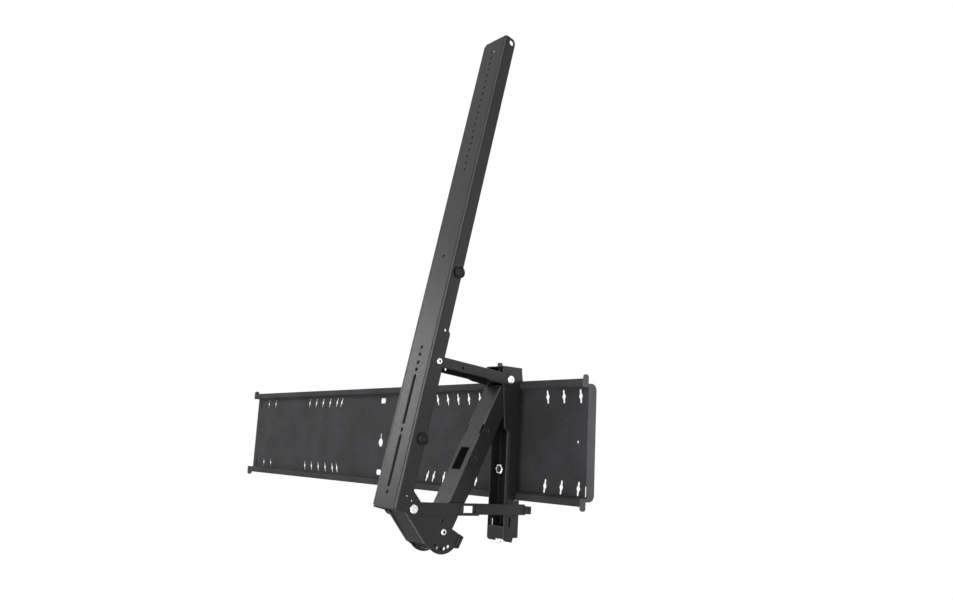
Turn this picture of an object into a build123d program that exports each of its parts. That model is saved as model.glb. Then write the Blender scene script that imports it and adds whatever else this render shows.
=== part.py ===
"""Tilting TV wall mount: a slotted wall tray with two rails, and one display bracket on it.

The bracket is a carriage that slides along the rails, a swing arm and an upper link that
carry a long upright, a toothless index sector that sets the upright's lean, and a
telescopic stay that props the swung-out bracket against the wall.

Frame: millimetres, +Z up, +X along the rails, the wall on the +Y side.
Origin: centre of the tray's panel, on the panel's back face.
"""
import os
from math import acos, asin, atan2, cos, degrees, hypot, pi, radians, sin

from build123d import *

os.makedirs("parts", exist_ok=True)

# Wall tray
plate_length = 1176.0
panel_sheet = 2.5
panel_bend = 2.0            # inside bend radius
rail_top = 100.0            # height of a lip's edge above the centre line
lip_height = 13.0
lip_reach = 14.0            # from the panel's front face to the lip's front face
tray_depth = 16.0           # from the panel's front face to the wall
end_sheet = 2.5
end_half_height = 93.0
end_corner = 11.0
slot_row = 73.3             # the rows of wall slots, above and below the centre line
slot_columns_inner = (170.2, 190.3, 222.0, 253.8, 285.5, 317.3)
slot_columns_outer = (494.8, 532.5, 570.3)
slot_length = 23.5
slot_width = 5.6
slot_eye = 9.5              # round opening in the middle of each slot
pilot_spacing = 1134.0
pilot_hole = 5.0
stop_depth = 11.0           # ears of the end plates, which close the rails
stop_rise = 7.0             # how far an ear stands above the lip
relief_height = 16.0

# Carriage
column_inset = 168.5        # middle of the bracket from the tray's right end
carriage_width = 43.0
carriage_sheet = 2.0
carriage_gap = 0.5          # between the carriage and the lips
carriage_top = 123.0
carriage_bottom = -163.5
carriage_reach_low = 40.0   # front edge of the side plates, from the origin plane
carriage_reach_mid = 48.0
carriage_reach_high = 57.5
tab_drop = 6.0              # tab below the side plates' foot
edge_bevel = 6.0            # coined front edge of each side plate
catch_height = 20.0
hook_clearance = 1.0
screw_diameter = 6.0
screw_head = 9.0
screw_setback = 12.2        # from the front of the hook plate
cup_across = 15.0
cup_bore = 11.6
cup_standoff = 19.7
cup_height = 8.0
cup_level = -50.0

# Linkage: places of the pivots and lengths between them
pivot_a_reach = 41.8
pivot_a_height = 100.2
arm_length = 280.0
arm_angle = 27.0            # from the vertical, swung out
link_length = 160.0
sector_link = 73.3          # between the sector's two pivots
sector_lean = 28.85
pin_a = 8.0
pin_b = 6.0
pin_c = 8.0
pin_d = 6.0
pin_clearance = 0.05        # radial, in a running bore
open_pivot_play = 1.9       # radial, where the linkage's loop is left open
head_thickness = 3.0
head_big = 14.0
head_small = 10.0
rivet_bore = 4.0

# Swing arm
arm_width = 38.4
arm_sheet = 2.0
arm_front = 10.0            # web face in front of the line between the pivots
arm_back = 21.0             # side plates' edge behind it
foot_back = 16.5
foot_radius = 31.0          # rounded end about pivot D
window_middle = -156.3      # window in the web
window_length = 40.5
window_width = 22.0
fold_slots = ((-101.4, 17.0), (-153.5, 9.0))

# Upper link
link_sheet = 2.3
link_gap = 0.5              # between the link's plates and the carriage
link_top = 10.0
link_skirt = 7.0

# Upright
upright_length = 848.0
upright_width = 60.0
upright_sheet = 2.5
upright_bend = 2.0
upright_depth = 23.5
upright_depth_low = 27.5    # deeper part round the lower pivots
upright_step = 291.0        # where the deeper part ends
pivot_b_up = 238.0
pivot_b_depth = 18.0
pivot_c_up = 8.0
pivot_c_depth = 34.0
ear_radius = 13.0
fine_hole = 5.5
fine_pitch = 12.7
fine_count = 19
fine_first = 581.7
display_hole = 7.5
display_hole_up = 823.0
bolt_hole = 6.0
bolt_holes_up = (24.7, 121.8, 220.0, 232.2, 245.3, 257.4, 418.0)
display_slot_width = 6.5
display_slots = ((32.6, 114.0), (130.7, 211.5))
bumper_diameter = 20.0
bumper_thickness = 3.0
bumpers_up = (113.2, 391.0)

# Tilt sector
sector_width = 48.0
sector_sheet = 2.0
sector_radius = 34.0
index_radius = 25.5
index_hole = 5.6
index_step = 14.5
index_holes = 4
index_held = 1              # the hole that the pin sits in
index_first = -35.0
lever_width = 8.0

# Telescopic stay
foot_level = -116.5         # middle of the foot on the wall
sleeve_sheet = 1.5
sleeve_length = 133.0
sleeve_half_height = 9.75
fork_sheet = 1.5
fork_overlap = 12.0
stay_gap = 0.15             # between nested sheets
foot_thickness = 9.5
foot_half_height = 6.4
foot_half_width = 29.5

# Values that follow from the sizes above
half_plate = plate_length / 2
column_x = half_plate - column_inset
panel_face = -panel_sheet
wall_plane = tray_depth - panel_sheet
lip_face = panel_face - lip_reach
lip_back = lip_face + panel_sheet
shelf_low = rail_top - lip_height
shelf_high = shelf_low + panel_sheet


def along(lean, up, back):
    """Offset in (Y, Z) of a point `up` a leaning line and `back` from it."""
    a = radians(lean)
    return Vector(0, up * sin(a) + back * cos(a), up * cos(a) - back * sin(a))


def leaning(origin, lean):
    """Side plane whose local y climbs a line that leans `lean` degrees to the wall."""
    a = radians(lean)
    return Plane(origin=origin, x_dir=(0, cos(a), -sin(a)), z_dir=(1, 0, 0))


pivot_a = Vector(column_x, -pivot_a_reach, pivot_a_height)
pivot_d = pivot_a + along(arm_angle, -arm_length, 0)
pivot_c = pivot_d - along(sector_lean, 0, sector_link)
# The loop closes at pivot B, as far from A as the link and from C as the upright's bores
bore_rise = pivot_b_up - pivot_c_up
bore_setback = pivot_b_depth - pivot_c_depth
bc_length = hypot(bore_rise, bore_setback)
ac = pivot_c - pivot_a
ac_length = hypot(ac.Y, ac.Z)
at_a = acos((link_length ** 2 + ac_length ** 2 - bc_length ** 2) / (2 * link_length * ac_length))
ab_turn = atan2(ac.Z, ac.Y) - at_a
pivot_b = pivot_a + Vector(0, link_length * cos(ab_turn), link_length * sin(ab_turn))
link_angle = degrees(pi - ab_turn) % 360
cb = pivot_b - pivot_c
upright_lean = degrees(atan2(cb.Y, cb.Z) - atan2(bore_setback, bore_rise))
upright_foot = pivot_c - along(upright_lean, pivot_c_up, pivot_c_depth)

arm_plane = leaning(pivot_a, arm_angle)
index_turn = index_first + index_held * index_step
index_angle = radians(index_turn - 90 + arm_angle)
index_in_arm = (index_radius * cos(index_angle), index_radius * sin(index_angle) - arm_length)
link_plane = leaning(pivot_a, link_angle)
upright_plane = leaning(upright_foot, upright_lean)
sector_plane = leaning(pivot_d, sector_lean)
# The stay falls from pivot C to its foot on the wall, below the lower rail
stay_angle = degrees(atan2(pivot_c.Z - foot_level, wall_plane - pivot_c.Y))
stay_plane = leaning(pivot_c, stay_angle)

carriage_half = carriage_width / 2
carriage_inner = carriage_half - carriage_sheet
carriage_back = lip_face - carriage_gap
arm_half = arm_width / 2
link_inner = carriage_half + link_gap
link_half = link_inner + link_sheet
sector_half = sector_width / 2
upright_half = upright_width / 2
upright_inner = upright_half - upright_sheet
sleeve_half = upright_inner - stay_gap
fork_half = sleeve_half - sleeve_sheet - stay_gap
fork_low = sleeve_sheet + stay_gap - sleeve_half_height
fork_high = sleeve_half_height - stay_gap
foot_end = (wall_plane - pivot_c.Y) / cos(radians(stay_angle))

# Wall panel: one folded sheet, its section along X, with flanges folded back to the wall
with BuildPart() as wall_panel:
    with BuildSketch(Plane.YZ.offset(-half_plate)):
        with BuildLine():
            Polyline(
                (0, 0), (0, shelf_high), (lip_back, shelf_high), (lip_back, rail_top),
                (lip_face, rail_top), (lip_face, shelf_low), (panel_face, shelf_low),
                (panel_face, 0),
                close=True,
            )
        make_face()
        corners = [(0, shelf_high), (lip_face, shelf_low)]
        inside = [(lip_back, shelf_high), (panel_face, shelf_low)]
        for places, radius in ((corners, panel_bend + panel_sheet), (inside, panel_bend)):
            fillet(
                [v for v in vertices()
                 if min(hypot(v.X - y, v.Y - z) for y, z in places) < 0.01],
                radius,
            )
        mirror(about=Plane.XZ)
    extrude(amount=plate_length)
    # Levelling slots: short arcs about the tray's centre, each with a round eye
    with BuildSketch(Plane.XZ) as wall_slots:
        for column in slot_columns_inner + slot_columns_outer:
            radius = hypot(column, slot_row)
            middle = degrees(asin(slot_row / radius))
            sweep_angle = degrees(slot_length - slot_width) / radius
            for sx in (-1, 1):
                for sz in (-1, 1):
                    centre = middle * sx * sz + (0 if sx > 0 else 180)
                    with BuildLine(mode=Mode.PRIVATE) as arc:
                        CenterArc((0, 0), radius, centre - sweep_angle / 2, sweep_angle)
                    SlotArc(arc.edge(), slot_width)
                    with Locations((sx * column, sz * slot_row)):
                        Circle(slot_eye / 2)
        with Locations((0, 74.5), (0, -74.5)):
            RectangleRounded(20, 11, 4)
        with Locations((-pilot_spacing / 2, 0), (pilot_spacing / 2, 0)):
            Circle(pilot_hole / 2)
        # Keyhole at the centre
        with Locations((0, -13)):
            Circle(9)
        with Locations((0, -3.5)):
            SlotOverall(21, 5.6, rotation=90)
    extrude(amount=panel_sheet * 2, both=True, mode=Mode.SUBTRACT)
    # Relief cuts at the ends, low on each side
    for side in (-1, 1):
        with Locations((side * (half_plate - 2), 0, -77)):
            Box(4, 4 * panel_sheet, relief_height, mode=Mode.SUBTRACT)
wall_panel.part.label = "wall_panel"
export_step(wall_panel.part, "parts/wall_panel.step")

# End plates: space the tray off the wall, with ears that close both rails
for name, side in (("end_plate_left", -1), ("end_plate_right", 1)):
    with BuildPart() as end_plate:
        with BuildSketch(Plane.YZ.offset(side * half_plate)):
            with Locations(((panel_face + wall_plane) / 2, 0)):
                Rectangle(tray_depth, 2 * end_half_height)
            fillet(vertices().group_by(Axis.X)[-1], end_corner)
            for sz in (-1, 1):
                with Locations((lip_face + stop_depth / 2,
                                sz * (shelf_low + rail_top + stop_rise) / 2)):
                    RectangleRounded(stop_depth, lip_height + stop_rise, stop_depth * 0.42)
                with Locations((lip_face / 2, sz * (shelf_low + panel_sheet))):
                    Rectangle(-lip_face, 2 * panel_sheet)
        extrude(amount=side * end_sheet)
    end_plate.part.label = name
    export_step(end_plate.part, f"parts/{name}.step")

# Carriage: a channel open to the front, whose side plates reach over both lips
web_low_edge = -122.0
plate_back_low = lip_back + 6
with BuildPart() as carriage_channel:
    with BuildSketch(Plane.YZ.offset(column_x)):
        with BuildLine():
            Polyline(
                (-carriage_reach_low, carriage_bottom),
                (-carriage_reach_low, 12), (-carriage_reach_mid, 20),
                (-carriage_reach_high, carriage_top), (lip_back, carriage_top),
                (lip_back + 4, rail_top + carriage_gap), (carriage_back, rail_top + carriage_gap),
                (carriage_back, -rail_top - carriage_gap),
                (plate_back_low, -rail_top - carriage_gap),
                (plate_back_low, carriage_bottom + 1.5), (lip_face - 2.2, carriage_bottom + 1.5),
                (lip_face - 4.5, carriage_bottom - tab_drop),
                (-carriage_reach_low + 4, carriage_bottom - tab_drop * 0.6),
                close=True,
            )
        make_face()
    extrude(amount=carriage_half, both=True)
    # Hollow between the side plates, closed again by the back web
    with BuildSketch(Plane.YZ.offset(column_x)):
        with Locations((0, 0)):
            Rectangle(160, 400)
    extrude(amount=carriage_inner, both=True, mode=Mode.SUBTRACT)
    with BuildSketch(Plane.YZ.offset(column_x)):
        with BuildLine():
            web_front = carriage_back - carriage_sheet
            Polyline(
                (web_front, rail_top + carriage_gap), (carriage_back, rail_top + carriage_gap),
                (carriage_back, web_low_edge), (web_front, web_low_edge),
                close=True,
            )
        make_face()
    extrude(amount=carriage_inner, both=True)
    # Pivot bore and the keyhole windows low in the side plates
    with BuildSketch(Plane.YZ.offset(column_x)):
        with Locations((-pivot_a_reach, pivot_a_height)):
            Circle(pin_a / 2 + pin_clearance)
        with Locations((-28, carriage_bottom + 31.5)):
            Circle(4.4)
        with Locations((-27.6, carriage_bottom + 25.5)):
            SlotOverall(13.5, 5.4, rotation=90)
    extrude(amount=carriage_half + 1, both=True, mode=Mode.SUBTRACT)
    bends = edges().filter_by(Axis.Z).filter_by(
        lambda e: abs(e.center().Y - carriage_back) < 0.01
        and abs(abs(e.center().X - column_x) - carriage_half) < 0.01 and e.length > 100
    )
    fillet(bends, carriage_sheet * 0.9)
    # The front edges are coined thin, which leaves a bright strip down each side plate
    front_edges = edges().filter_by(Axis.Z).filter_by(
        lambda e: abs(e.center().Y + carriage_reach_low) < 0.01
        and abs(abs(e.center().X - column_x) - carriage_half) < 0.01
    )
    plate_faces = faces().filter_by(
        lambda f: abs(abs(f.center().X - column_x) - carriage_half) < 0.01 and f.area > 5000
    )
    for edge in front_edges:
        side_face = plate_faces.sort_by_distance(edge.center())[0]
        chamfer(edge, edge_bevel, carriage_sheet * 0.65, reference=side_face)
carriage_channel.part.label = "carriage_channel"
export_step(carriage_channel.part, "parts/carriage_channel.step")

# Hook plate: closes the top of the carriage and drops behind the upper lip
tongue_back = lip_back + hook_clearance + carriage_sheet
with BuildPart() as hook_plate:
    with BuildSketch(Plane.YZ.offset(column_x)):
        with BuildLine():
            Polyline(
                (-carriage_reach_high, carriage_top), (tongue_back, carriage_top),
                (tongue_back, shelf_high + 2.5), (tongue_back - carriage_sheet, shelf_high + 2.5),
                (tongue_back - carriage_sheet, carriage_top - carriage_sheet),
                (-carriage_reach_high, carriage_top - carriage_sheet),
                close=True,
            )
        make_face()
    extrude(amount=carriage_inner, both=True)
    # Slot, open to the front, for the levelling screw
    screw_y = -carriage_reach_high + screw_setback
    with BuildSketch(Plane.XY.offset(carriage_top)):
        with Locations((column_x, screw_y)):
            Circle(screw_diameter / 2 + 0.3)
        with Locations((column_x, screw_y - screw_setback)):
            Rectangle(screw_diameter + 0.6, 2 * screw_setback)
    extrude(amount=-carriage_sheet * 2, mode=Mode.SUBTRACT)
hook_plate.part.label = "hook_plate"
export_step(hook_plate.part, "parts/hook_plate.step")

# Levelling screw: hexagon head over the hook plate, its shank standing in the slot
screw_low = pivot_a_height + pin_a / 2 + 2
with BuildPart() as level_screw:
    with BuildSketch(Plane.XY.offset(screw_low)):
        with Locations((column_x, screw_y)):
            Circle(screw_diameter / 2)
    extrude(amount=carriage_top + 1 - screw_low)
    with BuildSketch(Plane.XY.offset(carriage_top + 0.1)):
        with Locations((column_x, screw_y)):
            Circle(screw_head / 2)
    extrude(amount=1.2)
    with BuildSketch(Plane.XY.offset(carriage_top + 1.3)):
        with Locations((column_x, screw_y)):
            RegularPolygon(screw_head / 2, 6)
    extrude(amount=screw_head * 0.6)
level_screw.part.label = "level_screw"
export_step(level_screw.part, "parts/level_screw.step")

# Catch plate: joins the side plates at the foot, where the folded arm comes to rest
with BuildPart() as catch_plate:
    with Locations((column_x, -carriage_reach_low, carriage_bottom)):
        Box(2 * carriage_inner, carriage_sheet, catch_height,
            align=(Align.CENTER, Align.MIN, Align.MIN))
    fillet(edges().filter_by(Axis.X).group_by(Axis.Z)[-1], carriage_sheet * 0.4)
catch_plate.part.label = "catch_plate"
export_step(catch_plate.part, "parts/catch_plate.step")

# Clamp: a hexagon cup on a post that faces forward inside the carriage
post_plane = Plane(origin=(column_x + 1, carriage_back - carriage_sheet, cup_level),
                   x_dir=(1, 0, 0), z_dir=(0, -1, 0))
with BuildPart() as clamp_stud:
    with BuildSketch(post_plane):
        Circle(cup_bore / 2 - 0.1)
    extrude(amount=cup_standoff - cup_height * 0.4)
    with BuildSketch(post_plane.offset(cup_standoff - cup_height * 0.4)):
        RegularPolygon(cup_bore * 0.28, 6)
    extrude(amount=-cup_height * 0.4, mode=Mode.SUBTRACT)
clamp_stud.part.label = "clamp_stud"
export_step(clamp_stud.part, "parts/clamp_stud.step")

with BuildPart() as clamp_cup:
    with BuildSketch(post_plane.offset(cup_standoff - cup_height)):
        RegularPolygon(cup_across / 2, 6, major_radius=False)
        Circle(cup_bore / 2, mode=Mode.SUBTRACT)
    extrude(amount=cup_height)
    rim = faces().sort_by(Axis.Y)[0].outer_wire().edges()
    chamfer(rim, 0.8)
clamp_cup.part.label = "clamp_cup"
export_step(clamp_cup.part, "parts/clamp_cup.step")

# Latch: rises behind the lower lip and is pulled down by its ring
latch_front = lip_back + hook_clearance
latch_top = -shelf_high - 2.5
latch_low = -148.0
latch_stroke = 11.0
rivet_height = -112.0
rivet_shank = 5.4
with BuildPart() as latch_plate:
    with BuildSketch(Plane.YZ.offset(column_x)):
        with BuildLine():
            Polyline(
                (latch_front, latch_top), (latch_front + 2, latch_top), (latch_front + 2, latch_low),
                (-34, latch_low), (-34, latch_low + 2), (latch_front, latch_low + 2),
                close=True,
            )
        make_face()
    extrude(amount=12, both=True)
    with Locations((column_x, -30, latch_low)):
        Cylinder(1.2, 10, mode=Mode.SUBTRACT)
    # Slot for the guide rivet, as long as the latch's stroke
    with BuildSketch(Plane.XZ):
        with Locations((column_x, rivet_height + latch_stroke / 2)):
            SlotOverall(latch_stroke + rivet_shank + 0.6, rivet_shank + 0.6, rotation=90)
    extrude(amount=30, both=True, mode=Mode.SUBTRACT)
latch_plate.part.label = "latch_plate"
export_step(latch_plate.part, "parts/latch_plate.step")

# Guide rivet: shank from the carriage's web through the latch's slot, headed behind it
with BuildPart() as latch_rivet:
    with BuildSketch(Plane.XZ.offset(-carriage_back)):
        with Locations((column_x, rivet_height)):
            Circle(rivet_shank / 2)
    extrude(amount=-(latch_front + 2.3 - carriage_back))
    with BuildSketch(Plane.XZ.offset(-latch_front - 2.3)):
        with Locations((column_x, rivet_height)):
            Circle(rivet_shank * 0.9)
    extrude(amount=-1.5)
latch_rivet.part.label = "latch_rivet"
export_step(latch_rivet.part, "parts/latch_rivet.step")

# Pull ring: wire loop on a short wire, under the catch plate
ring_radius = 4.4
wire_radius = 0.6
ring_y = -30.0
ring_height = carriage_bottom - 3.5
with BuildPart() as pull_ring:
    with BuildSketch(Plane.XY.offset(latch_low + 3)):
        with Locations((column_x, ring_y)):
            Circle(wire_radius)
    extrude(amount=ring_height + ring_radius - latch_low - 3)
    with Locations(Location((column_x, ring_y, ring_height), (0, 90, 0))):
        Torus(ring_radius, wire_radius * 1.2)
    with BuildSketch(Plane.XY.offset(ring_height - ring_radius)):
        with Locations((column_x, ring_y)):
            Circle(wire_radius)
    extrude(amount=-6.5)
    with Locations((column_x, ring_y, latch_low + 2.1)):
        Cylinder(2, 1.4, align=(Align.CENTER, Align.CENTER, Align.MIN))
pull_ring.part.label = "pull_ring"
export_step(pull_ring.part, "parts/pull_ring.step")


def pivot_pin(label, centre, radius, reach, head, hollow):
    """Headed pin across the bracket: `reach` is half its length between the heads."""
    plane = Plane.YZ.offset(column_x)
    with BuildPart() as pin:
        with BuildSketch(plane):
            with Locations((centre.Y, centre.Z)):
                Circle(radius)
        extrude(amount=reach + 0.5, both=True)
        for side in (-1, 1):
            with BuildSketch(Plane.YZ.offset(column_x + side * reach)):
                with Locations((centre.Y, centre.Z)):
                    Circle(head / 2)
            extrude(amount=side * head_thickness)
        rims = edges().filter_by(GeomType.CIRCLE).filter_by(
            lambda e: abs(abs(e.center().X - column_x) - reach - head_thickness) < 0.01
        )
        chamfer(rims, head_thickness * 0.35)
        if hollow:
            with BuildSketch(plane):
                with Locations((centre.Y, centre.Z)):
                    Circle(rivet_bore / 2)
            extrude(amount=reach + 2 * head_thickness, both=True, mode=Mode.SUBTRACT)
        else:
            for side in (-1, 1):
                with BuildSketch(Plane.YZ.offset(column_x + side * (reach + head_thickness))):
                    with Locations((centre.Y, centre.Z)):
                        RegularPolygon(radius * 0.75, 6)
                extrude(amount=-side * head_thickness * 0.7, mode=Mode.SUBTRACT)
    pin.part.label = label
    export_step(pin.part, f"parts/{label}.step")
    return pin


pivot_pin("pivot_pin_a", pivot_a, pin_a / 2, link_half + 0.1, head_big, False)
pivot_pin("pivot_pin_b", pivot_b, pin_b / 2, upright_half + 0.1, head_small, True)
pivot_pin("pivot_pin_c", pivot_c, pin_c / 2, upright_half + 0.1, head_big, False)
pivot_pin("pivot_pin_d", pivot_d, pin_d / 2, sector_half + 0.1, head_small, True)

# Swing arm: channel with its web to the front, hung from the upper pivot
with BuildPart() as swing_arm:
    with BuildSketch(arm_plane):
        with BuildLine():
            Polyline(
                (-arm_front, -17), (-arm_front, -arm_length - foot_radius + 2),
                (-arm_front + 7, -arm_length - foot_radius + 0.5),
                (foot_back - 7, -arm_length - foot_radius + 1.5),
                (foot_back, -arm_length - foot_radius + 5), (foot_back, -arm_length + 14),
                (arm_back, -200), (arm_back, -45), (10, -8),
                close=True,
            )
        make_face()
        Circle(13)
    extrude(amount=arm_half, both=True)
    # Hollow, open to the wall
    with BuildSketch(arm_plane):
        with Locations((-arm_front + arm_sheet, 0)):
            Rectangle(80, 2 * arm_length + 60, align=(Align.MIN, Align.CENTER))
    extrude(amount=arm_half - arm_sheet, both=True, mode=Mode.SUBTRACT)
    # The web stops short of the pivots at both ends
    with BuildSketch(arm_plane):
        with Locations((-arm_front - 5, -17)):
            Rectangle(40, 60, align=(Align.MIN, Align.MIN))
        with Locations((-arm_front - 5, -arm_length + 16)):
            Rectangle(40, 40, align=(Align.MIN, Align.MAX))
    extrude(amount=arm_half - arm_sheet, both=True, mode=Mode.SUBTRACT)
    with BuildSketch(arm_plane):
        Circle(pin_a / 2 + pin_clearance)
        with Locations((0, -arm_length)):
            Circle(pin_d / 2 + pin_clearance)
        with Locations(index_in_arm):
            Circle(index_hole / 2)
    extrude(amount=arm_half + 1, both=True, mode=Mode.SUBTRACT)
    folds = edges().filter_by(
        lambda e: e.length > 150 and abs(abs(e.center().X - column_x) - arm_half) < 0.01
    ).sort_by(Axis.Y)[:2]
    fillet(folds, arm_sheet * 0.9)
    # Window in the web and lanced slots beside the fold
    web_plane = Plane(origin=arm_plane.from_local_coords((-arm_front, 0, 0)),
                      x_dir=(1, 0, 0), z_dir=-arm_plane.x_dir)
    up_sign = 1 if web_plane.y_dir.dot(arm_plane.y_dir) > 0 else -1
    with BuildSketch(web_plane):
        with Locations((-1, up_sign * window_middle)):
            Rectangle(window_width, window_length)
    extrude(amount=-arm_sheet * 2, mode=Mode.SUBTRACT)
    with BuildSketch(web_plane):
        for place, length in fold_slots:
            for side in (-1, 1):
                with Locations((side * arm_half, up_sign * place)):
                    Rectangle(3.2, length)
    extrude(amount=-arm_sheet * 1.6, mode=Mode.SUBTRACT)
    # Round dimples beside the fold slots
    for side in (-1, 1):
        with BuildSketch(arm_plane.offset(side * arm_half)):
            for place, length in fold_slots:
                with Locations((0, place + 1.5)):
                    Circle(6.5)
                    Circle(4.5, mode=Mode.SUBTRACT)
        extrude(amount=-side * 0.6, mode=Mode.SUBTRACT)
swing_arm.part.label = "swing_arm"
export_step(swing_arm.part, "parts/swing_arm.step")

# Spacers between the arm's foot and the sector's plates
for name, side in (("arm_spacer_left", -1), ("arm_spacer_right", 1)):
    with BuildPart() as arm_spacer:
        with BuildSketch(Plane.YZ.offset(column_x + side * arm_half)):
            with Locations((pivot_d.Y, pivot_d.Z)):
                Circle(pin_d / 2 + 3.5)
                Circle(pin_d / 2 + pin_clearance, mode=Mode.SUBTRACT)
        extrude(amount=side * (sector_half - sector_sheet - arm_half - 0.1))
    arm_spacer.part.label = name
    export_step(arm_spacer.part, f"parts/{name}.step")

# Upper link: channel with its web on top, its ears outside the carriage
with BuildPart() as upper_link:
    with BuildSketch(link_plane):
        with BuildLine():
            Polyline(
                (-link_length + 5, link_top), (-20, link_top), (-7, link_top - 3), (-6, -link_top),
                (-44, -link_top + 1), (-54, -link_skirt), (-link_length + 5, -link_skirt),
                close=True,
            )
        make_face()
        Circle(link_top + 0.8)
        with Locations((-link_length, 0)):
            Circle(link_top - 1)
    extrude(amount=link_half, both=True)
    with BuildSketch(link_plane):
        with Locations((-link_length - 30, link_top - link_sheet)):
            Rectangle(link_length + 60, 40, align=(Align.MIN, Align.MAX))
        with Locations((-24, -20)):
            Rectangle(60, 60, align=(Align.MIN, Align.MIN))
        with Locations((-link_length + 12, -20)):
            Rectangle(60, 60, align=(Align.MAX, Align.MIN))
    extrude(amount=link_inner, both=True, mode=Mode.SUBTRACT)
    with BuildSketch(link_plane):
        Circle(pin_a / 2 + pin_clearance)
        with Locations((-link_length, 0)):
            Circle(pin_b / 2 + open_pivot_play)
        with Locations((-105, 0)):
            Circle(2.6)
    extrude(amount=link_half + 1, both=True, mode=Mode.SUBTRACT)
    top_folds = edges().filter_by(
        lambda e: e.length > 90 and abs(abs(e.center().X - column_x) - link_half) < 0.01
    ).sort_by(Axis.Z)[-2:]
    fillet(top_folds, link_sheet * 0.9)
upper_link.part.label = "upper_link"
export_step(upper_link.part, "parts/upper_link.step")

# Upright: long channel, its web to the display, with ears at the lower pivot
with BuildPart() as upright:
    with BuildSketch(upright_plane):
        with BuildLine():
            Polyline(
                (0, 0), (0, upright_length), (upright_depth, upright_length),
                (upright_depth, upright_step), (upright_depth_low, upright_step - 4),
                (upright_depth_low, 34), (pivot_c_depth + ear_radius - 0.5, pivot_c_up + 12),
                (pivot_c_depth, pivot_c_up), (pivot_c_depth - 4, 0),
                close=True,
            )
        make_face()
        with Locations((pivot_c_depth, pivot_c_up)):
            Circle(ear_radius)
    extrude(amount=upright_half, both=True)
    tops = edges().filter_by(Axis.X).group_by(Axis.Z)[-1] + edges().filter_by(Axis.X).group_by(
        Axis.Z)[-2]
    fillet(tops.sort_by(Axis.Y)[-1], 9)
    with BuildSketch(upright_plane):
        with Locations((upright_sheet, -40)):
            Rectangle(90, upright_length + 80, align=(Align.MIN, Align.MIN))
    extrude(amount=upright_inner, both=True, mode=Mode.SUBTRACT)
    long_edges = edges().filter_by(lambda e: e.length > upright_length * 0.9)
    outer = long_edges.filter_by(
        lambda e: abs(abs(e.center().X - column_x) - upright_half) < 0.01
    ).sort_by(Axis.Y)[:2]
    inner = long_edges.filter_by(
        lambda e: abs(abs(e.center().X - column_x) - upright_inner) < 0.01
    ).sort_by(Axis.Y)[:2]
    fillet(outer, upright_bend + upright_sheet)
    fillet(inner, upright_bend)
    # Holes and slots for the display, on the web's centre line
    face_plane = Plane(origin=upright_foot, x_dir=(-1, 0, 0), z_dir=upright_plane.x_dir)
    face_sign = 1 if face_plane.y_dir.dot(upright_plane.y_dir) > 0 else -1
    with BuildSketch(face_plane):
        for index in range(fine_count):
            with Locations((0, face_sign * (fine_first + index * fine_pitch))):
                Circle(fine_hole / 2)
        with Locations((0, face_sign * display_hole_up)):
            Circle(display_hole / 2)
        for up in bolt_holes_up:
            with Locations((0, face_sign * up)):
                Circle(bolt_hole / 2)
        for low, high in display_slots:
            with Locations((0, face_sign * (low + high) / 2)):
                SlotOverall(high - low, display_slot_width, rotation=90)
    extrude(amount=upright_sheet + 1, mode=Mode.SUBTRACT)
    # Pivot bores and the small holes in the flanges
    with BuildSketch(upright_plane):
        with Locations((pivot_b_depth, pivot_b_up)):
            Circle(pin_b / 2 + pin_clearance)
        with Locations((pivot_c_depth, pivot_c_up)):
            Circle(pin_c / 2 + pin_clearance)
        with Locations((upright_depth - 8, upright_length - 8.5)):
            Circle(5)
        with Locations((17, upright_step - 1)):
            Circle(2.5)
        with Locations((17.5, 24), (28, 19)):
            Circle(1.6)
    extrude(amount=upright_half + 1, both=True, mode=Mode.SUBTRACT)
upright.part.label = "upright"
export_step(upright.part, "parts/upright.step")

# Bumpers: flat round buttons on both flanges, standing past their back edge
for index, up in enumerate(bumpers_up):
    edge = upright_depth_low if up < upright_step else upright_depth
    centre = upright_foot + along(upright_lean, up, edge - bumper_diameter * 0.32)
    for side_name, side in (("left", -1), ("right", 1)):
        name = f"bumper_{('low', 'high')[index]}_{side_name}"
        with BuildPart() as bumper:
            with BuildSketch(Plane.YZ.offset(column_x + side * upright_half)):
                with Locations((centre.Y, centre.Z)):
                    Circle(bumper_diameter / 2)
            extrude(amount=side * bumper_thickness)
            outer_rim = edges().filter_by(
                lambda e: abs(abs(e.center().X - column_x) - upright_half - bumper_thickness) < 0.01
            )
            chamfer(outer_rim, bumper_thickness * 0.3)
        bumper.part.label = name
        export_step(bumper.part, f"parts/{name}.step")

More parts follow.
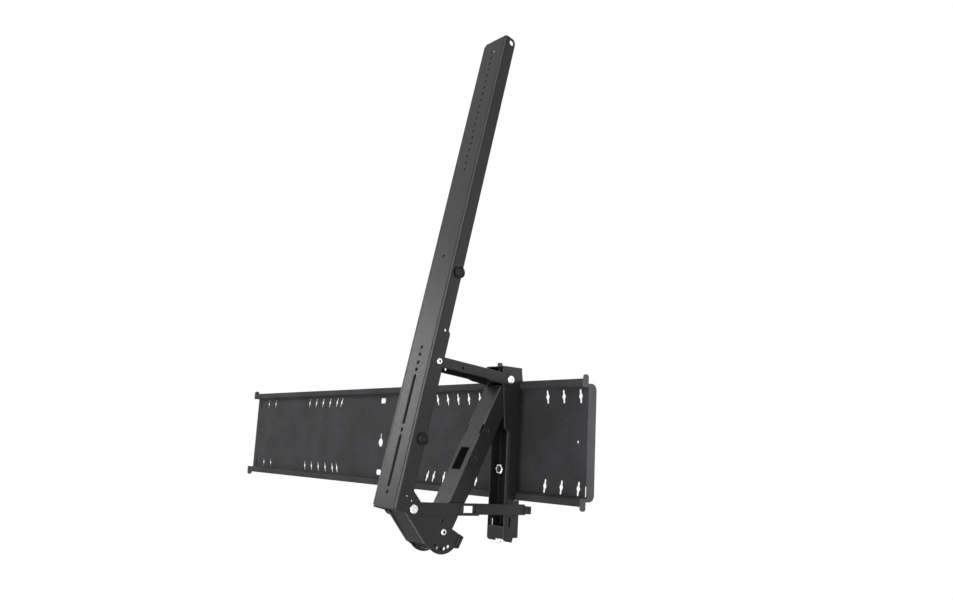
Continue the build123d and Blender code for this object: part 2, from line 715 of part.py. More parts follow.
# Tilt sector: folded plate that joins the lower pivots, with index holes about pivot D
web_top = (-sector_link - 7, -7.4)
web_low = (-22, -31.6)
web_lean = atan2(web_low[1] - web_top[1], web_low[0] - web_top[0])
with BuildPart() as tilt_sector:
    with BuildSketch(sector_plane):
        with BuildLine():
            Polyline(
                web_top, web_low, (-11, -sector_radius + 2),
                (0, -20), (31, -10.5), (36, -9.5), (40.8, -7), (40.2, 13), (26, 12.4), (17, 12),
                (12.5, 19), (2, 38), (-3, 43), (-9, 42.4), (-63, 14), (-sector_link, 9.5),
                (-sector_link - 9, 3),
                close=True,
            )
        make_face()
        Circle(sector_radius)
        with Locations((-sector_link, 0)):
            Circle(9.6)
        # The rear of the disc is cut back to the throat beside the lever
        with Locations((13.6, 12.2)):
            Rectangle(30, 40, align=(Align.MIN, Align.MIN), mode=Mode.SUBTRACT)
    extrude(amount=sector_half, both=True)
    web_direction = Vector(cos(web_lean), sin(web_lean), 0)
    with BuildSketch(sector_plane):
        with Locations(Location((web_top[0], web_top[1], 0), (0, 0, degrees(web_lean)))):
            with Locations((-60, sector_sheet)):
                Rectangle(260, 150, align=(Align.MIN, Align.MIN))
        with Locations((web_low[0] + 1, -90)):
            Rectangle(140, 100, align=(Align.MIN, Align.MIN))
    extrude(amount=sector_half - sector_sheet, both=True, mode=Mode.SUBTRACT)
    with BuildSketch(sector_plane):
        Circle(pin_d / 2 + pin_clearance)
        with Locations((-sector_link, 0)):
            Circle(pin_c / 2 + pin_clearance)
        for index in range(index_holes):
            angle = radians(sector_lean - 90 + index_first + index * index_step)
            with Locations((index_radius * cos(angle), index_radius * sin(angle))):
                Circle(index_hole / 2)
        with Locations((21.0, -14.2), (-11.4, 13.0)):
            Circle(index_hole / 2)
    extrude(amount=sector_half + 1, both=True, mode=Mode.SUBTRACT)
    # Lever strips folded inwards at the end of each plate
    for side in (-1, 1):
        with BuildSketch(sector_plane.offset(side * sector_half)):
            with Locations((40.5, 3)):
                Rectangle(sector_sheet, 19.4, align=(Align.MAX, Align.CENTER))
        extrude(amount=-side * (sector_sheet + lever_width))
tilt_sector.part.label = "tilt_sector"
export_step(tilt_sector.part, "parts/tilt_sector.step")

# Index pin: held in the arm's foot behind one pair of index holes
with BuildPart() as index_pin:
    with BuildSketch(arm_plane):
        with Locations(index_in_arm):
            Circle(index_hole / 2 - 0.02)
    extrude(amount=sector_half - sector_sheet - 0.15, both=True)
    rims = edges().filter_by(GeomType.CIRCLE)
    chamfer(rims, index_hole * 0.2)
index_pin.part.label = "index_pin"
export_step(index_pin.part, "parts/index_pin.step")

# Stay sleeve: flat bar on the right of the linkage, folded under the sliding bar, with a window
sleeve_lip = fork_half - 0.7 * fork_sheet
window_start = 92.0
window_end = 127.0
window_rise = 10.8
with BuildPart() as stay_sleeve:
    with BuildSketch(stay_plane.offset(sleeve_half)):
        Circle(sleeve_half_height)
        Rectangle(sleeve_length, 2 * sleeve_half_height, align=(Align.MIN, Align.CENTER))
    extrude(amount=-sleeve_sheet)
    with BuildSketch(stay_plane.offset(sleeve_half)):
        with Locations((ear_radius + 7, -sleeve_half_height)):
            Rectangle(sleeve_length - ear_radius - 7, sleeve_sheet, align=(Align.MIN, Align.MIN))
    extrude(amount=sleeve_lip - sleeve_half)
    with BuildSketch(stay_plane):
        Circle(pin_c / 2 + pin_clearance)
        with Locations((window_start, 0.2)):
            Rectangle(window_end - window_start, window_rise, align=(Align.MIN, Align.CENTER))
    extrude(amount=sleeve_half + 1, mode=Mode.SUBTRACT)
stay_sleeve.part.label = "stay_sleeve"
export_step(stay_sleeve.part, "parts/stay_sleeve.step")

# Guide block at the near end of the window
with BuildPart() as stay_guide:
    with BuildSketch(stay_plane.offset(sleeve_half - sleeve_sheet)):
        with Locations((window_start, 0.2)):
            RectangleRounded(8, window_rise, 1.5, align=(Align.MIN, Align.CENTER))
    extrude(amount=sleeve_sheet + 0.8)
stay_guide.part.label = "stay_guide_right"
export_step(stay_guide.part, "parts/stay_guide_right.step")

# Stay bar: slides out of the sleeve beside the carriage, with its top corner cut at the wall
fork_start = sleeve_length - fork_overlap
fork_end = foot_end - foot_thickness
with BuildPart() as stay_fork:
    with BuildSketch(stay_plane.offset(fork_half)):
        with Locations((fork_start, fork_low)):
            Rectangle(fork_end - fork_start, fork_high - fork_low, align=(Align.MIN, Align.MIN))
        chamfer(vertices().group_by(Axis.X)[-1].sort_by(Axis.Y)[-1], 3)
    extrude(amount=-fork_sheet)
    # Tab folded outwards behind the foot
    with BuildSketch(stay_plane.offset(fork_half - fork_sheet)):
        with Locations((fork_end, 0)):
            Rectangle(fork_sheet, 2 * foot_half_height - 1, align=(Align.MAX, Align.CENTER))
    extrude(amount=foot_half_width - fork_half + fork_sheet - 0.5)
stay_fork.part.label = "stay_fork"
export_step(stay_fork.part, "parts/stay_fork.step")

# Foot: rubber block on the tab, which bears on the wall
with BuildPart() as stay_foot:
    with BuildSketch(stay_plane.offset(foot_half_width)):
        with Locations((fork_end, 0)):
            Rectangle(foot_thickness, 2 * foot_half_height, align=(Align.MIN, Align.CENTER))
        fillet(vertices().group_by(Axis.X)[-1], 2)
    extrude(amount=carriage_half + 0.4 - foot_half_width)
stay_foot.part.label = "stay_foot"
export_step(stay_foot.part, "parts/stay_foot.step")

print("B", tuple(round(v, 2) for v in pivot_b), "C", tuple(round(v, 2) for v in pivot_c))
print("D", tuple(round(v, 2) for v in pivot_d), "link", round(link_angle, 3),
      "lean", round(upright_lean, 3))
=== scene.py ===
import bpy
from math import cos, radians, sin
from mathutils import Matrix, Vector


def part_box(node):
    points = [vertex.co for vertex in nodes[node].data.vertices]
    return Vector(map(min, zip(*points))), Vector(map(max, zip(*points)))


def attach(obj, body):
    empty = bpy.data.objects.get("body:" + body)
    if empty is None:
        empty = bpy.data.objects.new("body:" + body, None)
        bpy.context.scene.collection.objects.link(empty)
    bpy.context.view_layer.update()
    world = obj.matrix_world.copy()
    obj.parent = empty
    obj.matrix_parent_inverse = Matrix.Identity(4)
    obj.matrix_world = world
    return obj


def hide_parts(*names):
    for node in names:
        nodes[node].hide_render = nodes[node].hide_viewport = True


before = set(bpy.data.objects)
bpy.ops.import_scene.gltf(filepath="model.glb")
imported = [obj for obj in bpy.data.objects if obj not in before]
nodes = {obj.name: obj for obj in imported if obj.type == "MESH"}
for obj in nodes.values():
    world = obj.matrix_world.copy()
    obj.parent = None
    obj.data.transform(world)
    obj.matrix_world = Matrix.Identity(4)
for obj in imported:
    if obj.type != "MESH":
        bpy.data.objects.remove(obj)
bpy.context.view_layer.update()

# Camera: low and to the right of the mount, looking slightly up along the rails,
# with a small roll. The lens is the one that the photograph's perspective gives.
camera_place = (1.51746, -1.01198, -0.02831)
azimuth, climb, roll = radians(50.47), radians(10.34), radians(2.95)
ahead = Vector((-sin(azimuth) * cos(climb), cos(azimuth) * cos(climb), sin(climb)))
level_right = Vector((cos(azimuth), sin(azimuth), 0))
level_up = level_right.cross(ahead)
camera_right = level_right * cos(roll) + level_up * sin(roll)
camera_up = level_up * cos(roll) - level_right * sin(roll)
lens = bpy.data.cameras.new("photo_camera")
lens.lens = 32.0
lens.sensor_width = 36.0
lens.clip_start = 0.01
lens.clip_end = 60.0
camera = bpy.data.objects.new("photo_camera", lens)
bpy.context.collection.objects.link(camera)
camera_turn = Matrix((camera_right, camera_up, -ahead)).transposed().to_4x4()
camera.matrix_world = Matrix.Translation(camera_place) @ camera_turn
bpy.context.scene.camera = camera
bpy.context.scene.view_settings.view_transform = "Standard"

# Floor: a plain white sweep far under the mount. It is white to the camera and pale in
# reflections. To the rest of the light it is matt white paper.


def linear(hex_colour):
    """An sRGB hex colour as linear values, with full alpha."""
    channels = [int(hex_colour[i:i + 2], 16) / 255 for i in (1, 3, 5)]
    return tuple(c / 12.92 if c <= 0.04045 else ((c + 0.055) / 1.055) ** 2.4
                 for c in channels) + (1.0,)


def wire(tree, node, **links):
    """Links a node's inputs. Each is given by its name, or by i and its number where inputs
    share a name. It comes from a socket, or from a node's first output."""
    for key, source in links.items():
        numbered = key[0] == "i" and key[1:].isdigit()
        target = node.inputs[int(key[1:]) if numbered else key.replace("_", " ")]
        tree.links.new(source.outputs[0] if isinstance(source, bpy.types.Node) else source,
                       target)


def add(tree, kind, settings=None, **links):
    """One shader node, with its sockets or attributes set and its inputs linked."""
    node = tree.nodes.new(kind)
    for key, value in (settings or {}).items():
        if isinstance(key, int) or key in node.inputs:
            node.inputs[key].default_value = value
        else:
            setattr(node, key, value)
    wire(tree, node, **links)
    return node


floor_width, floor_level = 14.0, -0.9
white = (1, 1, 1, 1)
paper = bpy.data.materials.new("white_studio_paper")
paper.use_nodes = True
tree = paper.node_tree
tree.nodes.clear()
path = add(tree, "ShaderNodeLightPath")
seen = add(tree, "ShaderNodeMath", {"operation": "MAXIMUM"},
           i0=path.outputs["Is Camera Ray"], i1=path.outputs["Is Glossy Ray"])
matte = add(tree, "ShaderNodeBsdfDiffuse", {"Color": linear("#f2f2f2")})
# A white card lies on the paper, low in front of the mount. It is bright in reflections
# alone, and lightens the folds that face down.
card_middle = (0.9, -0.8, 0.0)
card_edge = {"From Min": 0.25, "From Max": 0.55}
card_glow, paper_glow = 5.0, 0.55
where = add(tree, "ShaderNodeTexCoord")
apart = add(tree, "ShaderNodeVectorMath", {"operation": "DISTANCE", 1: card_middle},
            i0=where.outputs["Object"])
mirrored = add(tree, "ShaderNodeMapRange",
               {**card_edge, "To Min": card_glow, "To Max": paper_glow,
                "interpolation_type": "SMOOTHSTEP"}, Value=apart.outputs["Value"])
brightness = add(tree, "ShaderNodeMapRange", {"To Max": 1.0},
                 Value=path.outputs["Is Camera Ray"], To_Min=mirrored)
glow = add(tree, "ShaderNodeEmission", {"Color": white}, Strength=brightness)
mixed = add(tree, "ShaderNodeMixShader", i0=seen, i1=matte, i2=glow)
add(tree, "ShaderNodeOutputMaterial", Surface=mixed)
bpy.ops.object.select_all(action="DESELECT")
bpy.ops.mesh.primitive_plane_add(size=floor_width, location=(0, 0, floor_level))
floor = bpy.context.object
floor.name = "floor"
floor.data.materials.append(paper)

# Studio light: an even white surround, and six soft lamps that face the bracket, as in a
# catalogue picture cut out on white. The last lamp is for views from behind the wall.
room_light = 0.32
world = bpy.data.worlds.new("studio_surround")
bpy.context.scene.world = world
world.use_nodes = True
tree = world.node_tree
tree.nodes.clear()
path = add(tree, "ShaderNodeLightPath")
seen = add(tree, "ShaderNodeMath", {"operation": "MAXIMUM"},
           i0=path.outputs["Is Camera Ray"], i1=path.outputs["Is Transmission Ray"])
# A white card stands behind the camera. It is bright in reflections alone, and draws the
# light lines along the folds of the sheet metal.
towards_card = (0.77, -0.64, 0.0)
card_edge = {"From Min": 0.86, "From Max": 0.98}
room_glow, card_glow = 1.0, 6.0
where = add(tree, "ShaderNodeTexCoord")
facing = add(tree, "ShaderNodeVectorMath", {"operation": "DOT_PRODUCT", 1: towards_card},
             i0=where.outputs["Generated"])
mirrored = add(tree, "ShaderNodeMapRange",
               {**card_edge, "To Min": room_glow, "To Max": card_glow,
                "interpolation_type": "SMOOTHSTEP"}, Value=facing.outputs["Value"])
lit = add(tree, "ShaderNodeMapRange", {"To Min": room_light},
          Value=path.outputs["Is Glossy Ray"], To_Max=mirrored)
brightness = add(tree, "ShaderNodeMath", {"operation": "MAXIMUM"}, i0=seen, i1=lit)
sky = add(tree, "ShaderNodeBackground", {"Color": white}, Strength=brightness)
add(tree, "ShaderNodeOutputWorld", Surface=sky)
bracket_middle = Vector((0.35, -0.1, 0.05))


def lamp(name, place, width, power):
    """A square soft lamp at place, facing the bracket."""
    light = bpy.data.lights.new(name, "AREA")
    light.shape = "SQUARE"
    light.size = width
    light.energy = power
    holder = bpy.data.objects.new(name, light)
    bpy.context.collection.objects.link(holder)
    holder.location = place
    aim = bracket_middle - Vector(place)
    holder.rotation_euler = aim.to_track_quat("-Z", "Y").to_euler()


lamp("key_lamp", (-2.0, -1.7, 0.95), 0.8, 20)
lamp("high_lamp", (-2.2, -1.2, 2.2), 1.0, 1.3)
lamp("low_front_lamp", (0.9, -2.2, -0.6), 1.4, 26)
lamp("right_lamp", (2.6, -0.8, -0.2), 1.4, 14)
lamp("rear_lamp", (1.6, 1.4, 0.4), 1.2, 6)
lamp("back_lamp", (-0.8, 2.6, 0.9), 1.6, 32)

# Wall tray: one long sheet of steel, folded into a rail along its top and bottom, in a black
# powder coat that is a little chalky, as on a large flat panel.


def start_finish(name):
    """A new material, its node tree and shader, and the place of each point on the piece."""
    finish = bpy.data.materials.new(name)
    finish.use_nodes = True
    tree = finish.node_tree
    where = add(tree, "ShaderNodeTexCoord")
    return finish, tree, tree.nodes["Principled BSDF"], where.outputs["Object"]


def powder_coat(name, colour, roughness, ior, fold, highlight_gain, salt):
    """Black polyester powder coat: satin, with the fine orange peel of the cured film. The
    folds of the sheet under it are shaded round by the radius fold. Along them the colour is
    painted lighter, by up to the factor that follows fold: a painted highlight. Its speckle is
    salt lighter or darker."""
    finish, tree, shader, where = start_finish(name)
    # Orange peel is under a millimetre across. It is drawn at 1.6 mm so that it shows.
    peel_width = 0.0016
    peel_depth = 0.00008
    peel = add(tree, "ShaderNodeTexNoise", {"Scale": 1 / peel_width, "Detail": 3.0},
               Vector=where)
    # Slow drift in the film's thickness, with 14 swells to the metre
    drift = add(tree, "ShaderNodeTexNoise", {"Scale": 14.0, "Detail": 3.0}, Vector=where)
    # Colour: the drift a little, and the peel as a fine salt-and-pepper speckle. Nearly all
    # of a noise lies within its spread.
    spread = {"From Min": 0.3, "From Max": 0.7}
    drift_tone = 0.15
    speck = add(tree, "ShaderNodeMapRange",
                {**spread, "To Min": 1 - salt, "To Max": 1 + salt}, Value=peel)
    slow = add(tree, "ShaderNodeMapRange",
               {**spread, "To Min": 1 - drift_tone, "To Max": 1 + drift_tone}, Value=drift)
    grain = add(tree, "ShaderNodeMath", {"operation": "MULTIPLY"}, i0=speck, i1=slow)
    # The press brake leaves the folds round. Along them the colour is painted lighter: a
    # painted highlight.
    edge = add(tree, "ShaderNodeBevel", {"samples": 6, "Radius": fold})
    flat = add(tree, "ShaderNodeNewGeometry")
    bend = add(tree, "ShaderNodeVectorMath", {"operation": "DOT_PRODUCT"},
               i0=edge, i1=flat.outputs["Normal"])
    edge_highlight = add(tree, "ShaderNodeMapRange",
                 {"From Min": 0.75, "From Max": 0.96, "To Min": highlight_gain, "To Max": 1.0},
                 Value=bend.outputs["Value"])
    level = add(tree, "ShaderNodeMath", {"operation": "MULTIPLY"}, i0=grain, i1=edge_highlight)
    tone = add(tree, "ShaderNodeVectorMath", {"operation": "SCALE", 0: linear(colour)[:3]},
               Scale=level)
    # The tops of the peel are smoother than its valleys
    gloss_spread = 0.07
    gloss = add(tree, "ShaderNodeMapRange",
                {**spread, "To Min": roughness + gloss_spread,
                 "To Max": roughness - gloss_spread}, Value=peel)
    relief = add(tree, "ShaderNodeBump", {"Strength": 0.35, "Distance": peel_depth},
                 Height=peel, Normal=edge)
    wire(tree, shader, Base_Color=tone, Roughness=gloss, Normal=relief)
    shader.inputs["IOR"].default_value = ior
    return finish


def coat(finish, *names):
    """Puts a finish on all the faces of the CAD nodes named."""
    for name in names:
        for place in nodes[name].material_slots:
            place.material = finish


tray_coat = powder_coat("tray_powder_coat", "#3d3d3f", 0.64, 1.2,
                        fold=0.0014, highlight_gain=1.5, salt=0.2)
coat(tray_coat, "wall_panel")

# End plates: a flat strip of steel at each end of the tray, with a slide stop at each rail.
# Their coat is painted a shade lighter than the panel's, as painted light: their faces catch
# more light.
end_plate_lit_coat = powder_coat("end_plate_painted_light_coat", "#58585a", 0.55, 1.25,
                       fold=0.0014, highlight_gain=1.5, salt=0.2)
coat(end_plate_lit_coat, "end_plate_left", "end_plate_right")

# Carriage and linkage: pressed and folded steel in a darker satin powder coat, hung on the
# rails and joined by the pivot pins.
bracket_coat = powder_coat("bracket_powder_coat", "#1f1f20", 0.42, 1.36,
                           fold=0.0022, highlight_gain=3.4, salt=0.4)
coat(bracket_coat, "carriage_channel", "hook_plate", "catch_plate", "latch_plate",
     "swing_arm", "upper_link", "tilt_sector", "stay_sleeve", "stay_fork")

# Upright: the long perforated channel that carries the display, folded from one sheet. Its
# powder coat has the same black as the bracket's, with a stronger speckle.
upright_coat = powder_coat("upright_powder_coat", "#1f1f20", 0.4, 1.35,
                           fold=0.0024, highlight_gain=3.4, salt=0.7)
coat(upright_coat, "upright")

# Pins, rivet, spacers, hexagon cup and pull ring: turned or formed steel, bright zinc plated.
# The plating has a faint spangle, 2.5 mm across, in the light metal.


def filmed_steel(name, patch, detail, tones, roughness, metallic):
    """Steel under a thin film, in patches of two tones. Each tone is given with its place on
    the noise, and the roughness runs between its two values along the same noise."""
    finish, tree, shader, where = start_finish(name)
    film = add(tree, "ShaderNodeTexNoise", {"Scale": 1 / patch, "Detail": detail},
               Vector=where)
    tone = add(tree, "ShaderNodeValToRGB", Fac=film)
    for stop, (position, colour) in zip(tone.color_ramp.elements, tones):
        stop.position = position
        stop.color = linear(colour)
    gloss = add(tree, "ShaderNodeMapRange",
                {"To Min": roughness[0], "To Max": roughness[1]}, Value=film)
    wire(tree, shader, Base_Color=tone, Roughness=gloss)
    shader.inputs["Metallic"].default_value = metallic
    return finish


zinc = filmed_steel("bright_zinc_plate", 0.0025, 2.0, ((0.0, "#d2d4d6"), (1.0, "#f4f5f5")),
                    (0.2, 0.34), metallic=1.0)
coat(zinc, "pivot_pin_a", "pivot_pin_b", "pivot_pin_c", "pivot_pin_d", "clamp_cup",
     "latch_rivet", "pull_ring", "arm_spacer_left", "arm_spacer_right", "index_pin")

# Guide block of the stay: moulded nylon, black and matt, pressed into the sleeve. The bar
# of the fork slides in it.


def moulded(name, colour, roughness, ior, grain_width):
    """Moulded black polymer: matt, with a fine mould texture."""
    finish, tree, shader, where = start_finish(name)
    grain = add(tree, "ShaderNodeTexNoise", {"Scale": 1 / grain_width, "Detail": 3.0},
                Vector=where)
    tone = add(tree, "ShaderNodeValToRGB", Fac=grain)
    for stop, share in zip(tone.color_ramp.elements, (0.75, 1.25)):
        stop.color = tuple(c * share for c in linear(colour)[:3]) + (1,)
    relief = add(tree, "ShaderNodeBump", {"Strength": 0.3, "Distance": 0.0001}, Height=grain)
    wire(tree, shader, Base_Color=tone, Normal=relief)
    shader.inputs["Roughness"].default_value = roughness
    shader.inputs["IOR"].default_value = ior
    return finish


nylon = moulded("black_nylon", "#1e1e1f", 0.42, 1.45, grain_width=0.0006)
coat(nylon, "stay_guide_right")

# Levelling screw and clamp post: machined steel with a black oxide finish, a thin dark film
# that leaves the metal's sheen, a little brown where tools have touched it. The brown comes
# in cloudy patches about 4 mm across.
oxide = filmed_steel("black_oxide_steel", 0.004, 4.0, ((0.35, "#1c1c1e"), (0.7, "#2e2b28")),
                     (0.32, 0.5), metallic=0.6)
coat(oxide, "level_screw", "clamp_stud")

# Bumpers: four buttons moulded in acetal and snapped into the flanks of the upright. Each
# has a rounded rim, a groove inside it and a dished middle.


def begin(primitive, place, turn=(0, 0, 0), scale=(1, 1, 1), **sizes):
    """Adds a primitive, and applies its place, turn and scale to its mesh."""
    bpy.ops.object.select_all(action="DESELECT")
    primitive(location=place, rotation=turn, **sizes)
    piece = bpy.context.object
    piece.scale = scale
    bpy.ops.object.transform_apply(location=True, rotation=True, scale=True)
    return piece


def pick(piece, wanted):
    """Selects the faces that wanted() accepts and leaves the piece in edit mode."""
    bpy.ops.object.mode_set(mode="EDIT")
    bpy.ops.mesh.select_mode(type="FACE")
    bpy.ops.mesh.select_all(action="DESELECT")
    bpy.ops.object.mode_set(mode="OBJECT")
    for face in piece.data.polygons:
        face.select = wanted(face)
    bpy.ops.object.mode_set(mode="EDIT")


def press_face(piece, outward, steps):
    """Shapes the face that looks outward along X. Each step is an inset's width and depth."""
    pick(piece, lambda face: face.normal.x * outward > square_on)
    for width, depth in steps:
        bpy.ops.mesh.inset(thickness=width, depth=depth)


def fit(piece, name, body, finish, edge):
    """Rounds a piece's edges, names and finishes it, and puts it on its body."""
    sharp = radians(35)
    bpy.ops.object.mode_set(mode="OBJECT")
    bevel = piece.modifiers.new("rounded_edges", "BEVEL")
    bevel.width = edge
    bevel.segments = 3
    bevel.limit_method = "ANGLE"
    bevel.angle_limit = sharp
    bpy.ops.object.modifier_apply(modifier=bevel.name)
    bpy.ops.object.shade_smooth_by_angle(angle=sharp)
    piece.name = name
    piece.data.materials.append(finish)
    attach(piece, body)


def middle(node):
    """The middle of a CAD node's box."""
    low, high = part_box(node)
    return (Vector(low) + Vector(high)) / 2


# A face looks along an axis when more than this share of its normal does
square_on = 0.9
# Rim, groove, its floor, the inner wall and the dish, from the rim inwards
bumper_steps = ((0.0014, 0), (0.0006, -0.0014), (0.0006, 0), (0.0013, 0.0011), (0.003, -0.0006))
bumper_edge = 0.0004
acetal = moulded("black_acetal", "#19191a", 0.45, 1.3, grain_width=0.0008)
for height in ("low", "high"):
    for hand, outward in (("left", -1), ("right", 1)):
        bumper = f"bumper_{height}_{hand}"
        low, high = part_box(bumper)
        button = begin(bpy.ops.mesh.primitive_cylinder_add, middle(bumper),
                       (0, outward * radians(90), 0),
                       vertices=64, radius=(high[1] - low[1]) / 2, depth=high[0] - low[0])
        press_face(button, outward, bumper_steps)
        fit(button, f"bumper_button_{height}_{hand}", "upright", acetal,
            bumper_edge)
        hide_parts(bumper)

# Half-shear bosses on the flanks of the arm: round buttons that the press pushes out of the
# sheet beside each lanced slot, in the arm's own powder coat.


def flanks(node, inset=0.0):
    """The flanks of a CAD node: each one's side, its outward sign and its X."""
    low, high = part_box(node)
    return ("left", -1, low[0] + inset), ("right", 1, high[0] - inset)


pivot_a = middle("pivot_pin_a")
arm_lean = radians(27.0)
arm_down = Vector((0, -sin(arm_lean), -cos(arm_lean)))
arm_front = Vector((0, -cos(arm_lean), sin(arm_lean)))


def on_arm(x, reach, front):
    """A point of the arm: its X, how far down it is from pivot A, and how far in front of the
    line between the pivots."""
    point = pivot_a + reach * arm_down + front * arm_front
    return Vector((x, point.y, point.z))


# Each boss by its reach down the arm and its place in front of the pivots
boss_places = ((0.0997, 0.0025), (0.1494, 0.00245))
boss_radius, boss_thickness, boss_edge = 0.0048, 0.0018, 0.0005
boss_steps = ((0.0015, 0), (0.0006, -0.0006))
for row, (reach, front) in enumerate(boss_places, start=1):
    for hand, outward, x in flanks("swing_arm"):
        boss = begin(bpy.ops.mesh.primitive_cylinder_add, on_arm(x, reach, front),
                     (0, outward * radians(90), 0),
                     vertices=40, radius=boss_radius, depth=boss_thickness)
        press_face(boss, outward, boss_steps)
        fit(boss, f"arm_boss_{row}_{hand}", "arm", bracket_coat, boss_edge)

# Lanced slots of the arm: beside each boss a narrow strip stands off the flank by the fold,
# grooved along its middle and coloured near black: a painted shadow for the slot, which no
# light gets into.
slot_shadow_coat = powder_coat("painted_slot_shadow_coat", "#040404", 0.9, 1.05,
                         fold=0.0001, highlight_gain=1.0, salt=0.2)
# Each slot by its reach down the arm, its place in front of the pivots and its length
lance_places = ((0.1013, 0.0090, 0.016), (0.1535, 0.0063, 0.0105))
lance_thickness, lance_width, lance_edge = 0.0008, 0.0014, 0.0001
lance_steps = ((0.0003, 0), (0.0001, -0.0003))
for row, (reach, front, length) in enumerate(lance_places, start=1):
    for hand, outward, x in flanks("swing_arm"):
        lance = begin(bpy.ops.mesh.primitive_cube_add, on_arm(x, reach, front),
                      (-arm_lean, 0, 0), (lance_thickness, lance_width, length), size=1)
        press_face(lance, outward, lance_steps)
        fit(lance, f"arm_slot_shadow_{row}_{hand}", "arm", slot_shadow_coat,
            lance_edge)

# Latch housing: a thin steel channel, folded and powder coated, on the latch. It closes the
# carriage's foot from inside and slides down with the latch. It is open in front, at the top
# and at the bottom, and its left cheek has a narrow sight slot.


def thicken(shell, sheet):
    """Gives a shell the thickness of its sheet, inwards from its outer faces."""
    bpy.ops.object.mode_set(mode="OBJECT")
    wall = shell.modifiers.new("sheet", "SOLIDIFY")
    wall.thickness = sheet
    wall.offset = -1
    bpy.ops.object.modifier_apply(modifier=wall.name)


housing_middle = Vector((pivot_a.x, -0.0244, -0.134))
housing_size = (0.0372, 0.0228, 0.032)
housing_sheet, housing_edge = 0.0008, 0.0002
slot_front, slot_back = -0.0318, -0.0302
slot_low, slot_high = -0.1436, -0.1327
housing = begin(bpy.ops.mesh.primitive_cube_add, housing_middle, scale=housing_size, size=1)
pick(housing, lambda face: face.normal.y < -square_on or abs(face.normal.z) > square_on)
bpy.ops.mesh.delete(type="FACE")
for y in (slot_front, slot_back):
    bpy.ops.mesh.select_all(action="SELECT")
    bpy.ops.mesh.bisect(plane_co=(0, y, 0), plane_no=(0, 1, 0))
for z in (slot_low, slot_high):
    bpy.ops.mesh.select_all(action="SELECT")
    bpy.ops.mesh.bisect(plane_co=(0, 0, z), plane_no=(0, 0, 1))
pick(housing, lambda face: face.normal.x < -square_on
     and slot_front < face.center.y < slot_back and slot_low < face.center.z < slot_high)
bpy.ops.mesh.delete(type="FACE")
thicken(housing, housing_sheet)
fit(housing, "latch_housing", "latch", bracket_coat, housing_edge)

# Fold lines of the tilt sector: the outer radius of the bend between its front web and each
# plate, coined a little proud, in a lighter coat: a painted highlight along the bend.
fold_highlight_coat = powder_coat("painted_fold_highlight_coat", "#4a4a4c", 0.32, 1.5,
                        fold=0.0002, highlight_gain=1.0, salt=0.3)
bead_crown, bead_tip, bead_edge = 0.0004, 0.0003, 0.0001


def fold_bead(name, body, start, end, radius):
    """A round bead along a bend, from start to end, in the lighter coat of the painted
    highlight.
    """
    run = end - start
    bead = begin(bpy.ops.mesh.primitive_cylinder_add, (start + end) / 2,
                 run.to_track_quat("Z", "X").to_euler(),
                 vertices=16, radius=radius, depth=run.length)
    pick(bead, lambda face: len(face.vertices) > 4)
    bpy.ops.mesh.inset(thickness=bead_crown, depth=bead_tip)
    fit(bead, name, body, fold_highlight_coat, bead_edge)


pivot_d = middle("pivot_pin_d")
sector_lean = radians(28.85)
sector_back = Vector((0, cos(sector_lean), -sin(sector_lean)))
sector_up = Vector((0, sin(sector_lean), cos(sector_lean)))


def on_sector(x, back, above):
    """A point of the sector: its X, and how far back and above it is from pivot D, along the
    lever and square to it."""
    point = pivot_d + back * sector_back + above * sector_up
    return Vector((x, point.y, point.z))


# The bend's ends, each by its place back and above from pivot D
fold_top, fold_low = (-0.0790, -0.0098), (-0.0222, -0.0314)
sector_bend, sector_inset = 0.0011, 0.0007
for hand, outward, x in flanks("tilt_sector", sector_inset):
    fold_bead(f"sector_fold_{hand}", "sector",
              on_sector(x, *fold_top), on_sector(x, *fold_low), sector_bend)

# Fold lines of the upright: the same bead with its painted highlight, on the bend between its
# front and its flanks, from just above the foot to just under the top.
upright_lean = radians(11.946)
up = Vector((0, sin(upright_lean), cos(upright_lean)))
inward = Vector((0, cos(upright_lean), -sin(upright_lean)))
pivot_c_height, pivot_c_depth = 0.008, 0.034
foot = middle("pivot_pin_c") - pivot_c_height * up - pivot_c_depth * inward
upright_bend, upright_inset = 0.0012, 0.0009
bead_start, bead_end = 0.004, 0.844
for hand, outward, x in flanks("upright", upright_inset):
    corner = Vector((x, foot.y, foot.z)) + upright_inset * inward
    fold_bead(f"upright_fold_{hand}", "upright",
              corner + bead_start * up, corner + bead_end * up, upright_bend)

# Fold lines of the arm: the same between its front and its flanks, broken where the upper
# lanced slot cuts into the bend.
arm_bend, arm_inset, bend_front = 0.0015, 0.0011, 0.0089
arm_beads = ((0.022, 0.0925), (0.1102, 0.275))
for hand, outward, x in flanks("swing_arm", arm_inset):
    for part, (start, end) in enumerate(arm_beads, start=1):
        fold_bead(f"arm_fold_{part}_{hand}", "arm",
                  on_arm(x, start, bend_front), on_arm(x, end, bend_front), arm_bend)
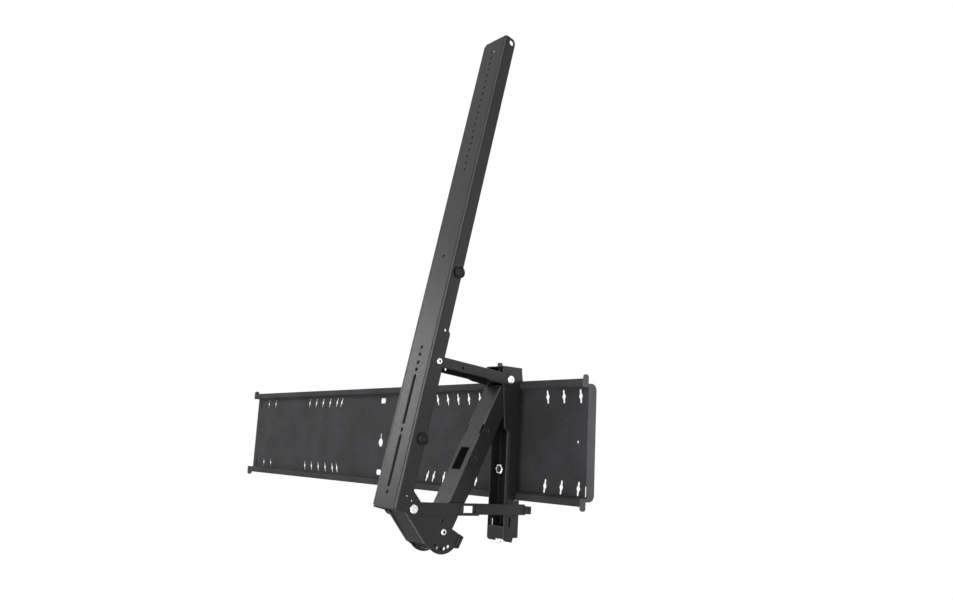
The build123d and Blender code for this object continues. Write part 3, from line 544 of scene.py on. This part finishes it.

# Grip of the sector's lever: a rib and a row of teeth pressed into the end of each plate, so
# that a thumb can turn the sector without slipping. The grip is coloured near black, and the
# tops of its rib and teeth are painted lighter: a painted highlight.
lever_coat = powder_coat("lever_powder_coat", "#080809", 0.8, 1.1,
                         fold=0.0003, highlight_gain=1.0, salt=0.3)
rib_highlight_coat = powder_coat("painted_rib_highlight_coat", "#77777a", 0.4, 1.4,
                       fold=0.0002, highlight_gain=1.0, salt=0.3)
# The grip's middle, by its place back and above from pivot D
grip_place = (0.03617, 0.0035)
grip_depth, grip_length = 0.0094, 0.0184
grip_clear, grip_sheet, grip_edge = 0.0003, 0.0006, 0.00015
rib_draft, rib_height, rib_highlight_height = 0.0002, 0.0006, 0.0008
columns, rows = 7, 11
rib_column = -2


def ribbed(face):
    """True for the cells of the long rib, and for every other one beside it, the teeth."""
    column = round(face.center.x / grip_depth * columns)
    row = round(face.center.y / grip_length * rows)
    return column == rib_column or column > 0 and row % 2 == 0


for hand, outward, x in flanks("tilt_sector"):
    grip = begin(bpy.ops.mesh.primitive_grid_add, (0, 0, 0),
                 scale=(grip_depth, grip_length, 1),
                 x_subdivisions=columns, y_subdivisions=rows, size=1)
    pick(grip, ribbed)
    bpy.ops.mesh.inset(thickness=rib_draft, depth=rib_height)
    bpy.ops.object.mode_set(mode="OBJECT")
    # Laid on the plate, a little clear of it, with its length across the lever
    out = Vector((outward, 0, 0))
    laid = Matrix((sector_back, out.cross(sector_back), out)).transposed().to_4x4()
    place = on_sector(x + grip_clear * outward, *grip_place)
    grip.matrix_world = Matrix.Translation(place) @ laid
    bpy.ops.object.transform_apply(location=True, rotation=True, scale=True)
    thicken(grip, grip_sheet)
    fit(grip, f"sector_grip_{hand}", "sector", lever_coat, grip_edge)
    # The tops of the rib and teeth take the lighter coat: a painted highlight.
    grip.data.materials.append(rib_highlight_coat)
    for face in grip.data.polygons:
        face.material_index = int((face.center.x - x) * outward > rib_highlight_height)

# Foot: a block of moulded rubber on the end of the stay's fork. It bears on the wall
# without marking it.
rubber = moulded("black_rubber", "#242425", 0.75, 1.4, grain_width=0.0009)
coat(rubber, "stay_foot")
